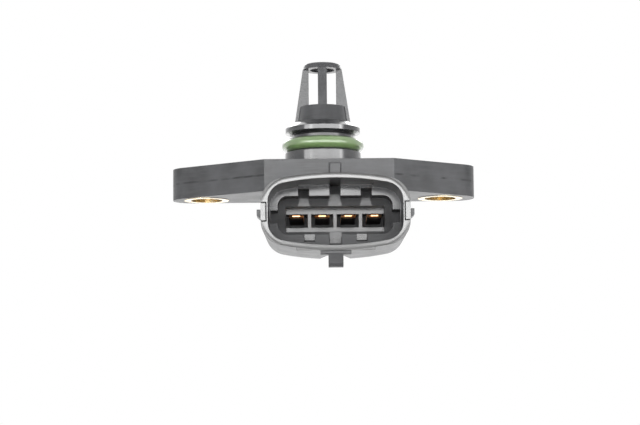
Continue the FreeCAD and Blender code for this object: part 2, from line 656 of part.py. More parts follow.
def latch_and_guides(body):
    """The latch nose below, the guide rib above and the rails with nubs at both ends."""
    shelf = Outline(body, "latch_pad_outline", "XZ_Plane", offset="rim_y - latch_setback")
    shelf.rectangle("connector_x - latch_pad_width / 2", "connector_x + latch_pad_width / 2",
                    CONNECTOR_Z + " - rim_half_height - latch_pad_drop",
                    CONNECTOR_Z + " - rim_half_height + rim_wall / 2")
    pad(shelf, "latch_pad", "latch_length", backward=True)
    nose = Outline(body, "latch_outline", "YZ_Plane", offset="connector_x - latch_width / 2")
    low = CONNECTOR_Z + " - rim_half_height - latch_drop"
    high = CONNECTOR_Z + " - rim_half_height + rim_wall / 2"
    nose.polygon([("-rim_y + latch_setback", high),
                  ("-rim_y + latch_setback", low + " + latch_bevel"),
                  ("-rim_y + latch_setback + latch_bevel", low),
                  ("-rim_y + latch_setback + latch_length", low),
                  ("-rim_y + latch_setback + latch_length", high)])
    pad(nose, "latch_nose", "latch_width")
    lower_pad = Outline(body, "lower_pad_outline", "XZ_Plane", offset="rim_y")
    lower_pad.rectangle("connector_x - lower_pad_half_width", "connector_x + lower_pad_half_width",
                        CONNECTOR_Z + " - rim_half_height - lower_pad_drop",
                        CONNECTOR_Z + " - rim_half_height + 0.8 * rim_wall")
    pad(lower_pad, "lower_pad", "lower_pad_length", backward=True)
    hollow = Outline(body, "relief_outline", "XZ_Plane", offset="rim_y - relief_setback")
    hollow.polygon([("connector_x - relief_half_width", CONNECTOR_Z + " - rim_half_height"),
                    ("connector_x + relief_half_width", CONNECTOR_Z + " - rim_half_height"),
                    ("connector_x + relief_top_half_width",
                     CONNECTOR_Z + " - rim_half_height + relief_depth"),
                    ("connector_x - relief_top_half_width",
                     CONNECTOR_Z + " - rim_half_height + relief_depth")])
    pocket(hollow, "latch_relief", "rim_y - relief_setback - front_face + shroud_root")
    guide = Outline(body, "guide_outline", "XZ_Plane", offset="rim_y - top_rib_setback")
    guide.rectangle("connector_x - top_rib_width / 2", "connector_x + top_rib_width / 2",
                    CONNECTOR_Z + " + rim_half_height - rim_wall / 2",
                    CONNECTOR_Z + " + rim_half_height + top_rib_rise")
    pad(guide, "guide_rib", "rim_y - top_rib_setback - front_face + shroud_root", backward=True)
    front = -value("rim_y - top_rib_setback")
    low = value(CONNECTOR_Z + " + rim_half_height")
    ends = edges_where(body.Tip.Shape, lambda m, a, b: abs(a.y - front) < 1e-4
                       and abs(b.y - front) < 1e-4 and m.z > low)
    bevel_edges(body, "guide_rib_bevel", ends, "top_rib_bevel")
    for side in ("-", "+"):
        rail(body, side)


def rail(body, side):
    """The rail and its nub at one end of the connector."""
    name = "left" if side == "-" else "right"
    inner = "connector_x %s (rim_half_width - rim_wall / 2)" % side
    middle = "connector_x %s (rim_half_width + side_rail_proud)" % side
    outer = "connector_x %s (rim_half_width + side_rail_proud + side_nub_proud)" % side
    strip = Outline(body, name + "_rail_outline", "XZ_Plane", offset="rim_y")
    strip.rectangle(*sorted((inner, middle), key=value),
                    CONNECTOR_Z + " - side_rail_height / 2", CONNECTOR_Z + " + side_rail_height / 2")
    pad(strip, name + "_rail", "side_rail_length", backward=True)
    nub = Outline(body, name + "_nub_outline", "XZ_Plane", offset="rim_y - side_nub_setback")
    nub.polygon([(inner, CONNECTOR_Z + " + side_nub_rise"),
                 (outer, CONNECTOR_Z + " + side_nub_rise"),
                 (outer, CONNECTOR_Z + " - side_nub_fall"),
                 (middle, CONNECTOR_Z + " - side_nub_foot"),
                 (inner, CONNECTOR_Z + " - side_nub_foot")])
    pad(nub, name + "_nub", "side_nub_length", backward=True)
    slit = Outline(body, name + "_slit_outline", "XZ_Plane", offset="rim_y")
    near = "connector_x %s side_slit_place" % side
    far = "connector_x %s (side_slit_place + side_slit)" % side
    beyond = "connector_x %s (rim_half_width + rim_side_wall)" % side
    top = CONNECTOR_Z + " + side_rail_height / 2"
    foot = CONNECTOR_Z + " - side_rail_height / 2"
    slit.polygon([(beyond, top + " + side_slit"), (near, top + " + side_slit"),
                  (near, foot + " - side_slit"), (beyond, foot + " - side_slit"),
                  (beyond, foot), (far, foot), (far, top), (beyond, top)])
    pocket(slit, name + "_slit", "side_slit_depth")


def bush_seats(body):
    """The holes in the ears for the bushings."""
    outline = Outline(body, "bush_seat_outline", "XY_Plane")
    for across in ("-hole_offset", "hole_offset"):
        outline.circle(across, "0", "bush_radius")
    pocket(outline, "bush_seats", "flange_thickness")


def housing():
    """The one-piece moulding that carries everything."""
    body = new_body("housing")
    flange(body)
    case(body)
    shroud(body)
    socket(body)
    latch_and_guides(body)
    port(body)
    case_space(body)
    chamber_and_posts(body)
    port_passages(body)
    contact_seats(body)
    bush_seats(body)
    return body


# Separate pieces of the case

def bushing(label, side):
    """A brass bushing that takes the screw's load."""
    body = new_body(label)
    outline = Outline(body, label + "_outline", "XY_Plane")
    for radius in ("bush_radius", "bush_bore"):
        outline.circle(side + "hole_offset", "0", radius)
    pad(outline, label + "_sleeve", "flange_thickness + bush_proud", backward=True)
    return body


def rear_cover():
    """The plate that closes the case, with a shallow panel in its outside."""
    body = new_body("rear_cover")
    edge = "cover_ledge - cover_gap"
    outline = Outline(body, "cover_outline", "XY_Plane", offset="-case_depth")
    outline.rounded(SPACE_LEFT + " - (%s)" % edge, SPACE_RIGHT + " + " + edge,
                    SPACE_FRONT + " - (%s)" % edge, SPACE_BACK + " + " + edge,
                    "space_corner - cover_gap")
    pad(outline, "cover_plate", "cover_thickness")
    panel = Outline(body, "cover_panel_outline", "XY_Plane", offset="-case_depth")
    panel.rounded(SPACE_LEFT + " + cover_frame", SPACE_RIGHT + " - cover_frame",
                  SPACE_FRONT + " + cover_frame", SPACE_BACK + " - cover_frame", "space_corner")
    pocket(panel, "cover_panel", "cover_dish", backward=True)
    return body


def cover_seal():
    """The bead of adhesive between the cover and its ledge."""
    body = new_body("cover_seal")
    outline = Outline(body, "seal_outline", "XY_Plane", offset=COVER_TOP)
    edge = "cover_ledge - cover_gap"
    outline.rounded(SPACE_LEFT + " - (%s)" % edge, SPACE_RIGHT + " + " + edge,
                    SPACE_FRONT + " - (%s)" % edge, SPACE_BACK + " + " + edge,
                    "space_corner - cover_gap")
    outline.rounded(SPACE_LEFT, SPACE_RIGHT, SPACE_FRONT, SPACE_BACK, "space_corner")
    pad(outline, "seal_bead_form", "seal_bead")
    return body


def port_ring():
    """The sealing ring in the port's groove."""
    body = new_body("port_o_ring")
    outline = Outline(body, "ring_outline", "XZ_Plane")
    angles = ["(360 / ring_sides * %d)" % side for side in range(int(value("ring_sides")))]
    outline.polygon([("ring_centre + ring_section * cos%s" % angle,
                      "ring_height + ring_section * sin%s" % angle) for angle in angles])
    turn(outline, "ring_form")
    return body


# Contacts and electronics

def contact_pin(number):
    """A contact: a blade in the socket, a tail through the wall and a leg up to the board."""
    label = "contact_pin_%d" % number
    body = new_body(label)
    middle = "(%s + pin_pitch * %d)" % (FIRST_PIN, number - 1)
    root = "(-(%s) + blade_root)" % POCKET_Y
    blade = Outline(body, label + "_blade_outline", "XY_Plane", offset=CONNECTOR_Z)
    blade.polygon([(middle + " - blade_width / 2", root),
                   (middle + " - blade_width / 2", "-rim_y + blade_tip + blade_taper"),
                   (middle + " - blade_tip_width / 2", "-rim_y + blade_tip"),
                   (middle + " + blade_tip_width / 2", "-rim_y + blade_tip"),
                   (middle + " + blade_width / 2", "-rim_y + blade_tip + blade_taper"),
                   (middle + " + blade_width / 2", root)])
    pad(blade, label + "_blade", "blade_thickness", both_ways=True)
    taper_end = -value("rim_y - blade_tip - blade_taper")
    edges = edges_where(body.Tip.Shape, lambda m, a, b: m.y < taper_end - 1e-4
                        and abs(a.z - b.z) < 1e-4)
    bevel_edges(body, label + "_bevel", edges, "blade_bevel")
    tail = Outline(body, label + "_tail_outline", "YZ_Plane", offset=middle)
    under = CONNECTOR_Z + " - blade_thickness / 2"
    over = CONNECTOR_Z + " + blade_thickness / 2"
    shoulder = BOARD_UNDER + " - tail_shoulder"
    tail.polygon([(root, under),
                  (LEG_Y + " + blade_thickness", under),
                  (LEG_Y + " + blade_thickness", shoulder),
                  (LEG_Y, shoulder),
                  (LEG_Y, over),
                  (root, over)])
    pad(tail, label + "_tail", "tail_width", both_ways=True)
    end = Outline(body, label + "_end_outline", "XY_Plane", offset=shoulder)
    end.rectangle(middle + " - tail_end_width / 2", middle + " + tail_end_width / 2",
                  LEG_Y, LEG_Y + " + blade_thickness")
    pad(end, label + "_end", "board_thickness + tail_shoulder + tail_above")
    return body


def circuit_board():
    """The board on its posts, with holes for the contacts and the thermistor's leads."""
    body = new_body("circuit_board")
    outline = Outline(body, "board_outline", "XY_Plane", offset="-board_top")
    outline.rounded(SPACE_LEFT + " + board_gap", SPACE_RIGHT + " - board_gap",
                    SPACE_FRONT + " + board_gap", SPACE_BACK + " - board_gap", "board_corner")
    pad(outline, "board_plate", "board_thickness", backward=True)
    leads = Outline(body, "board_lead_outline", "XY_Plane", offset="-board_top")
    for across in ("-lead_offset", "lead_offset"):
        leads.circle(across, "-lead_back", "lead_hole")
    pocket(leads, "board_lead_holes", "board_thickness")
    pin = Outline(body, "board_pin_outline", "XY_Plane", offset="-board_top")
    middle = LEG_Y + " + blade_thickness / 2"
    pin.rectangle(FIRST_PIN + " - pin_hole / 2", FIRST_PIN + " + pin_hole / 2",
                  middle + " - pin_hole / 2", middle + " + pin_hole / 2")
    hole = pocket(pin, "board_pin_hole", "board_thickness")
    repeat_along_pins(body, [hole], "board_pin_holes")
    return body


def tube(label, outer, inner, height, along, foot):
    """A round tube on the pressure chamber's axis."""
    outside = doc.addObject("Part::Cylinder", label + "_outside")
    inside = doc.addObject("Part::Cylinder", label + "_inside")
    for cylinder, radius in ((outside, outer), (inside, inner)):
        tie(cylinder, Radius=radius, Height=height,
            Placement__Base__y=along, Placement__Base__z=foot)
    piece = doc.addObject("Part::Cut", label)
    piece.Base = outside
    piece.Tool = inside
    piece.Label = label
    return piece


def block(label, length, width, height, across, along, foot):
    """A small block, placed by the middle of its footprint."""
    piece = doc.addObject("Part::Box", label)
    piece.Label = label
    tie(piece, Length=length, Width=width, Height=height,
        Placement__Base__x="%s - %s / 2" % (across, length),
        Placement__Base__y="%s - %s / 2" % (along, width),
        Placement__Base__z=foot)
    return piece


def pressure_cell():
    """The framed cell on the board, under the port: glass pedestal, chip and protecting gel."""
    floor = "-board_top"
    frame = tube("cell_frame", "cell_radius", "cell_radius - cell_wall", "cell_height",
                 "chamber_y", floor)
    pedestal = block("glass_pedestal", "pedestal_side", "pedestal_side", "pedestal_height",
                     "0", "chamber_y", floor)
    chip = block("pressure_chip", "pedestal_side", "pedestal_side", "die_height",
                 "0", "chamber_y", "-board_top + pedestal_height")
    fill = doc.addObject("Part::Cylinder", "gel_fill")
    tie(fill, Radius="cell_radius - cell_wall", Height="cell_height - gel_below",
        Placement__Base__y="chamber_y", Placement__Base__z=floor)
    core = block("gel_core", "pedestal_side", "pedestal_side", "pedestal_height + die_height",
                 "0", "chamber_y", floor)
    gel = doc.addObject("Part::Cut", "cell_gel")
    gel.Base = fill
    gel.Tool = core
    gel.Label = "cell_gel"
    return [frame, pedestal, chip, gel]


def chamber_bond():
    """The square bead of adhesive between the chamber's wall and the board."""
    body = new_body("chamber_bond")
    pad(chamber_outline(body, "bond_outline", "-board_top"), "bond_bead", "chamber_bond")
    return body


def board_parts():
    """The signal chip, capacitors and resistors on the board's under face."""
    pieces = [block("signal_chip", "signal_chip_length", "signal_chip_width", "signal_chip_height",
                    "signal_chip_x", "-signal_chip_y", BOARD_UNDER + " - signal_chip_height")]
    for number in range(1, int(value("pin_count")) + 1):
        across = "(%s + pin_pitch * %d)" % (FIRST_PIN, number - 1)
        pieces.append(block("capacitor_%d" % number, "capacitor_length", "capacitor_width",
                            "capacitor_height", across, "-capacitor_y",
                            BOARD_UNDER + " - capacitor_height"))
    for number, side in ((1, "-"), (2, "+")):
        pieces.append(block("resistor_%d" % number, "resistor_length", "resistor_width",
                            "resistor_height", "(signal_chip_x %s resistor_pitch / 2)" % side,
                            "resistor_y", BOARD_UNDER + " - resistor_height"))
    return pieces


# Temperature sensing

def thermistor_bead():
    """The glass bead in the cage, with sockets for its two leads."""
    body = new_body("thermistor_bead")
    outline = Outline(body, "bead_outline", "XZ_Plane")
    outline.polygon([("0", "bead_bottom"),
                     ("bead_radius", "bead_bottom"),
                     ("bead_radius", "bead_top - bead_shoulder"),
                     ("bead_radius / 2", "bead_top"),
                     ("0", "bead_top")])
    turn(outline, "bead_form")
    sockets = Outline(body, "bead_socket_outline", "XY_Plane", offset="bead_bottom")
    for across in ("-lead_offset", "lead_offset"):
        sockets.circle(across, "0", "lead_radius")
    pocket(sockets, "bead_sockets", "bead_socket", backward=True)
    return body


def thermistor_lead(label, side):
    """A lead from the board, through the floor of the port and up to the bead."""
    body = new_body(label)
    path = Outline(body, label + "_path", "YZ_Plane", offset=side + "lead_offset")
    section = Outline(body, label + "_section", "XY_Plane", offset=BOARD_UNDER + " - lead_above")
    section.circle(side + "lead_offset", "-lead_back", "lead_radius")
    lead_path(path)
    pipe = body.newObject("PartDesign::AdditivePipe", label + "_wire")
    pipe.Profile = section.sketch
    pipe.Spine = path.sketch
    pipe.Transition = "Right corner"
    doc.recompute()
    return body


def lead_path(path):
    """Upright, a slanting stretch and upright again."""
    corners = [("-lead_back", BOARD_UNDER + " - lead_above"),
               ("-lead_back", "lead_low_bend"),
               ("0", "lead_high_bend"),
               ("0", "bead_bottom + bead_socket")]
    spots = [FreeCAD.Vector(value(across), value(up), 0) for across, up in corners]
    lines = [path.add(Part.LineSegment(start, end)) for start, end in zip(spots, spots[1:])]
    for line, following in zip(lines, lines[1:]):
        path.rule("Coincident", line, 2, following, 1)
    for line, (across, up) in zip(lines, corners):
        path.place(line, 1, across, up)
    path.place(lines[-1], 2, *corners[-1])


def lead_seal():
    """The compound that fills the well round the two leads."""
    body = new_body("lead_seal")
    outline = Outline(body, "lead_seal_outline", "XY_Plane", offset="bore_floor")
    outline.rectangle("-lead_well_half_width", "lead_well_half_width",
                      "-lead_back - lead_well_half_depth", "-lead_back + lead_well_half_depth")
    for across in ("-lead_offset", "lead_offset"):
        outline.circle(across, "-lead_back", "lead_radius")
    pad(outline, "lead_seal_fill", "lead_well_depth", backward=True)
    return body


def build():
    """Every piece of the sensor."""
    pieces = [housing(), rear_cover(), cover_seal(), port_ring(),
              bushing("bushing_left", "-"), bushing("bushing_right", "")]
    pieces += [contact_pin(number) for number in range(1, int(value("pin_count")) + 1)]
    pieces.append(circuit_board())
    pieces.append(chamber_bond())
    pieces += pressure_cell()
    pieces += board_parts()
    pieces += [thermistor_bead(),
               thermistor_lead("thermistor_lead_left", "-"),
               thermistor_lead("thermistor_lead_right", ""),
               lead_seal()]
    return pieces


def check_and_write(pieces):
    """Stops on any failed object, then writes one file for each piece."""
    doc.recompute()
    for item in doc.Objects:
        if "Invalid" in item.State or "Error" in item.State:
            raise RuntimeError("%s failed: %s" % (item.Name, item.State))
    for piece in pieces:
        if piece.Shape.isNull() or not piece.Shape.isValid() or len(piece.Shape.Solids) != 1:
            raise RuntimeError(piece.Label + " is not one valid solid")
    os.makedirs("parts", exist_ok=True)
    for piece in pieces:
        piece.Shape.exportStep("parts/%s.step" % piece.Label)
        print("%-24s %9.3f mm3" % (piece.Label, piece.Shape.Volume))


check_and_write(build())
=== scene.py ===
from math import cos, pi, radians, sin

import bmesh
import bpy
from mathutils import Matrix, Vector


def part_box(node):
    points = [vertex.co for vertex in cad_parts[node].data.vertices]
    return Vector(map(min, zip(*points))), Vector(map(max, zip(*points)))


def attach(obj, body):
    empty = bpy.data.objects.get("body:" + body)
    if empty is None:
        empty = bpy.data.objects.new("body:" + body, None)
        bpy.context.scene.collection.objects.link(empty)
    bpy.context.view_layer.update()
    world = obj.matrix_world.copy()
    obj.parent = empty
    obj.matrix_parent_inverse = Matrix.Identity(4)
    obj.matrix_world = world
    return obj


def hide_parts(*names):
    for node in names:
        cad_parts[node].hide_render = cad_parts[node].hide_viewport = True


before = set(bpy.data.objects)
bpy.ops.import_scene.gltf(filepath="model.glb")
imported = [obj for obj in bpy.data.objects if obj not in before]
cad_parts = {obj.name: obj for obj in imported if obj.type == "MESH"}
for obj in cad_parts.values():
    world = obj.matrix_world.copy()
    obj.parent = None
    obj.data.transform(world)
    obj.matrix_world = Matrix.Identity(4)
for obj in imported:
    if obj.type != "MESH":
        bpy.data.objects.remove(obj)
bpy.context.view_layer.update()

MM = 0.001

# Camera: looks up at the sensor from in front of its electrical socket.
CAMERA_PLACE = Vector((-0.726, -400.0, -55.04)) * MM
CAMERA_LENS = 109.71
CAMERA_PITCH = radians(6.544)
CAMERA_ROLL = radians(-0.535)
NEAREST_SEEN = 10.0 * MM

# Floor and room. A glow of 1 is white.
FLOOR_HEIGHT = -80 * MM
FLOOR_RADIUS = 3.0
FLOOR_SIDES = 96
FLOOR_WHITE = 0.9
FLOOR_ROUGHNESS = 0.6
FLOOR_GLOW = 0.15
FLOOR_MIRRORED_GLOW = 0.7
ROOM_LIGHT = 0.27

# Three front panels on an arc round the port, so that its highlights reach round its sides.
PANELS = (("left_panel", radians(-39)), ("middle_panel", 0.0), ("right_panel", radians(39)))
PANEL_DISTANCE = 0.75
PANEL_HEIGHT = 0.11
PANEL_WIDTH = 0.53
PANEL_DEPTH = 0.15
PANEL_BRIGHTNESS = 7.0

# Other lamps: name, place, width, height, brightness.
SOFTBOXES = (
    ("left_strip", Vector((-0.42, -0.58, 0.09)), 0.09, 0.09, 7.0),
    ("right_strip", Vector((0.7, -0.42, 0.09)), 0.16, 0.14, 9.0),
    ("low_card", Vector((0.0, -0.42, -0.07)), 1.0, 0.12, 6.5),
    ("top_softbox", Vector((0.0, 0.4, 0.85)), 0.9, 0.9, 0.95),
    ("back_softbox", Vector((0.0, 0.8, 0.42)), 1.0, 0.3, 4.0),
)

# Places on the housing, as in the CAD model.
RIM_Y = -36.8 * MM
KEY_STEP_Y = -27.8 * MM
WELL_Y = -23.4 * MM
POCKET_FACE_Y = -20.0 * MM
POCKET_FLOOR_Y = -16.4 * MM
FRONT_FACE_Y = -14.6 * MM
CAGE_FLAT_Y = -0.92 * MM
CONNECTOR_X = 2.2 * MM
CONNECTOR_Z = -13.12 * MM
RIM_HALF_WIDTH = 14.05 * MM
RIM_HALF_HEIGHT = 7.3 * MM
RIM_CROWN = 55.0 * MM
RIM_CORNER = 4.6 * MM
POCKETS_HALF_WIDTH = 9.8 * MM
POCKET_HALF_HEIGHT = 1.35 * MM
PORT_FOOT = 0.05 * MM
GROOVE_FOOT = 3.3 * MM
GROOVE_TOP = 6.9 * MM
DISC_TOP = 9.4 * MM
LATCH_TOP_Z = -20.9 * MM
PARTING_Z = -3.2 * MM
BLADE_TIP_Y = -28.5 * MM
BUSHING_BORE = 3.25 * MM

# How far a zone reaches past its face or stays clear of it, and how squarely a face has to look
# forward, or down.
FACE_REACH = 0.25 * MM
RIM_REACH = 0.5 * MM
POCKET_FRONT_GAP = 0.02 * MM
POCKET_FLOOR_REACH = 0.1 * MM
BORE_REACH = 0.1 * MM
TIP_REACH = 0.9 * MM
FRONT_TURN = 0.95
SQUARE_TURN = 0.995
DOWNWARD_TURN = -0.5

# The mouth's rounded lip: its width and fall, the heights above and below the socket's middle where
# it starts and is full, and the slope at which its shine ends.
LIP_WIDTH = 0.5 * MM
LIP_FALL = 0.22 * MM
LIP_START = 1.5 * MM
LIP_FULL = 5.5 * MM
LIP_SHINE_END = 0.2

# Share of the mould's polish on each part of the housing.
POLISHED_FACES = ((POCKET_FACE_Y, 0.72), (FRONT_FACE_Y, 0.15))
RIM_POLISH = (0.05, 1.0)
RIM_DULL_Z = -19.8 * MM
RIM_BRIGHT_Z = -16.5 * MM
STEP_POLISH = (0.0, 1.0)
STEP_DULL_Z = -14.0 * MM
STEP_BRIGHT_Z = -8.5 * MM
FOOT_POLISH = 1.0
GROOVE_LOSS = 0.6
CAGE_POLISH = 0.32
CAGE_FLAT_POLISH = 0.45

# The key step's lower part is matt, and darker in colour.
STEP_DULLNESS = (0.6, 0.0)
STEP_MATT_Z = -15.0 * MM
STEP_CLEAR_Z = -12.0 * MM

# Bright patches on the well's face, under and over the key slots, polished and spared the painted shade of
# the rest of that face: middle from the connector's, half width, lower and upper end, widening per height,
# polish.
TOP_MARK_Z = (-10.7 * MM, -9.1 * MM)
BOTTOM_MARK_Z = (-17.25 * MM, -16.1 * MM)
MIDDLE_MARK_TOP_Z = -8.3 * MM
LOWEST_MARK_Z = (-17.9 * MM, -15.7 * MM)
SLOT_PATCHES = (
    (-6.05 * MM, 0.75 * MM, *TOP_MARK_Z, 0.3, 0.22),
    (0.0, 0.9 * MM, TOP_MARK_Z[0], MIDDLE_MARK_TOP_Z, 0.2, 0.28),
    (6.0 * MM, 0.75 * MM, *TOP_MARK_Z, 0.3, 0.22),
    (-4.98 * MM, 1.0 * MM, *BOTTOM_MARK_Z, 0.0, 0.75),
    (0.07 * MM, 1.15 * MM, *LOWEST_MARK_Z, 0.0, 0.4),
    (5.12 * MM, 1.0 * MM, *BOTTOM_MARK_Z, 0.0, 0.75),
)
FAINTEST_MARK = 0.05

# Patterns: their scale, the part of their noise that shows, and their stretch along each axis.
RELIEF = 0.02 * MM
GRAIN_SCALE = 9000.0
GRAIN_DEPTH = 0.25
EDGE_RADIUS = 0.15 * MM
EDGE_TURN = (1.0, 0.8)
# Painted sheen on the edges: how much of an edge it covers and how much paler it makes it.
EDGE_COVER = 0.6
EDGE_PALING = 0.024
MOTTLE_SCALE = 160.0
MOTTLE_RANGE = (0.3, 0.7)
MOTTLE_ROUGHENING = 0.04
RING_SCALE = 3000.0
RING_DEPTH = 0.2
SMUDGE_SCALE = 420.0
SMUDGE_TINT_RANGE = (0.35, 0.75)
SMUDGE_DULL_RANGE = (0.3, 0.8)
SMUDGE_ROUGHENING = 0.15
FLOW_SCALE = 1800.0
FLOW_STRETCH = (0.12, 0.12, 1.0)
BRUSH_SCALE = 2600.0
BRUSH_STRETCH = (1.0, 1.0, 0.05)
PARTING_GAPS_SCALE = 260.0
PARTING_GAPS_RANGE = (0.42, 0.62)
PARTING_HALF_WIDTH = 0.2 * MM

# The housing's plastic: its two shades, then for each zone the range of its mask, how much it covers
# and its shade.
HOUSING_SHADES = ((0.018, 0.0185, 0.02), (0.042, 0.043, 0.046))
HOUSING_MOTTLE_RANGE = (0.35, 0.65)
HOUSING_TINTS = (
    ("Flow", 0.45, 0.7, 0.35, (0.055, 0.056, 0.06)),
    # Painted sheen: the housing's edges are paler.
    ("Edge", 0.0, 1.0, 0.6, (0.07, 0.07, 0.072)),
    # Painted highlight: the rim's front is paler.
    ("Rim", 0.0, 1.0, 0.7, (0.12, 0.12, 0.118)),
    ("Parting", 0.0, 1.0, 0.9, (0.006, 0.006, 0.007)),
    # Painted shade on the well's face around its bright patches; the latch's lowest part and the key step's
    # lower part are darker too.
    ("Dull_Shade", 0.0, 1.0, 0.6, (0.015, 0.015, 0.016)),
    ("Pocket", 0.0, 1.0, 1.0, (0.055, 0.055, 0.057)),
)

# The housing's roughness and how each zone changes it.
HOUSING_ROUGHNESS = (0.42, 0.5)
ROUGHNESS_CHANGES = (("Flow", -0.12), ("Dull_Shade", 0.28), ("Pocket", 0.35), ("Parting", 0.3),
                     ("Brushed", 0.12), ("Polish", -0.26))

# The grain's depth off and on the polish, and the edges' radius and the gloss off and on the rim.
HOUSING_GRAIN = (0.3, 0.06)
HOUSING_EDGE = (0.16 * MM, 0.22 * MM)
HOUSING_GLOSS = (0.5, 1.0)
GLOSS_BLUR = 0.18

# Metals: shades of the clean and of the smudged metal, and roughness.
PLATED_BRASS = ((0.85, 0.74, 0.53), (0.76, 0.62, 0.4))
# The bore's bare brass is painted paler, against the shade inside the bore.
BARE_BRASS_PAINTED_PALER = ((0.96, 0.85, 0.62), (0.88, 0.73, 0.48))
BRASS_ROUGHNESS = (0.12, 0.28)
COPPER = ((0.88, 0.52, 0.28), (0.68, 0.34, 0.15))
# Painted shade, near black, on the blades' downward faces behind their tips.
BLADE_UNDERSIDE_SHADE = (0.012, 0.009, 0.007)
BLADE_ROUGHNESS = (0.34, 0.6)
TINNED_WIRE = ((0.6, 0.58, 0.55), (0.45, 0.43, 0.4))
CELL_STEEL = ((0.6, 0.6, 0.6), (0.5, 0.5, 0.5))
PLAIN_METAL_ROUGHNESS = 0.3

# Sealing ring: its rubber, how deep and how strongly light enters it, its film of oil, and its mesh.
RING_GREENS = ((0.125, 0.2, 0.075), (0.15, 0.23, 0.095))
RUBBER_ROUGHNESS = 0.3
RUBBER_GRAIN_SCALE = 5000.0
RUBBER_GRAIN_DEPTH = 0.02
RUBBER_LIGHT_SHARE = 0.6
RUBBER_LIGHT_SPREAD = (0.7, 1.0, 0.6)
RUBBER_LIGHT_DEPTH = 1.2 * MM
OIL_IOR = 1.55
RING_SECTION_SIDES = 32
RING_STEPS = 128

# Inner pieces and the cover: finish, its two shades, roughness, grain, and the pieces that have it.
PLAIN_FINISHES = (
    ("cover_plastic", (0.03, 0.031, 0.033), (0.042, 0.043, 0.046), 0.5, {}, ("rear_cover",)),
    ("cured_adhesive", (0.04, 0.04, 0.04), (0.07, 0.07, 0.07), 0.35,
     {"grain_scale": 1500.0, "grain_depth": 0.3}, ("cover_seal", "lead_seal")),
    ("bond_silicone", (0.3, 0.3, 0.3), (0.38, 0.38, 0.37), 0.4,
     {"grain_scale": 1500.0, "grain_depth": 0.3}, ("chamber_bond",)),
    ("board_laminate", (0.02, 0.13, 0.06), (0.03, 0.18, 0.08), 0.3,
     {"grain_scale": 2500.0, "grain_depth": 0.2}, ("circuit_board",)),
    ("chip_package", (0.02, 0.02, 0.02), (0.03, 0.03, 0.03), 0.45, {}, ("signal_chip",)),
    ("capacitor_ceramic", (0.4, 0.3, 0.18), (0.5, 0.38, 0.24), 0.4, {},
     ("capacitor_1", "capacitor_2", "capacitor_3", "capacitor_4")),
    ("resistor_ceramic", (0.03, 0.03, 0.035), (0.06, 0.06, 0.06), 0.3, {}, ("resistor_1", "resistor_2")),
    ("silicone_gel", (0.6, 0.6, 0.56), (0.7, 0.7, 0.66), 0.15,
     {"grain_scale": 800.0, "grain_depth": 0.1}, ("cell_gel",)),
    ("silicon", (0.16, 0.17, 0.2), (0.22, 0.23, 0.27), 0.15, {"grain_depth": 0.05}, ("pressure_chip",)),
    ("pedestal_glass", (0.7, 0.75, 0.75), (0.8, 0.85, 0.85), 0.08, {"grain_depth": 0.02},
     ("glass_pedestal",)),
    ("bead_coating", (0.05, 0.04, 0.03), (0.08, 0.06, 0.05), 0.2,
     {"grain_scale": 2500.0, "grain_depth": 0.2}, ("thermistor_bead",)),
)


# Nodes

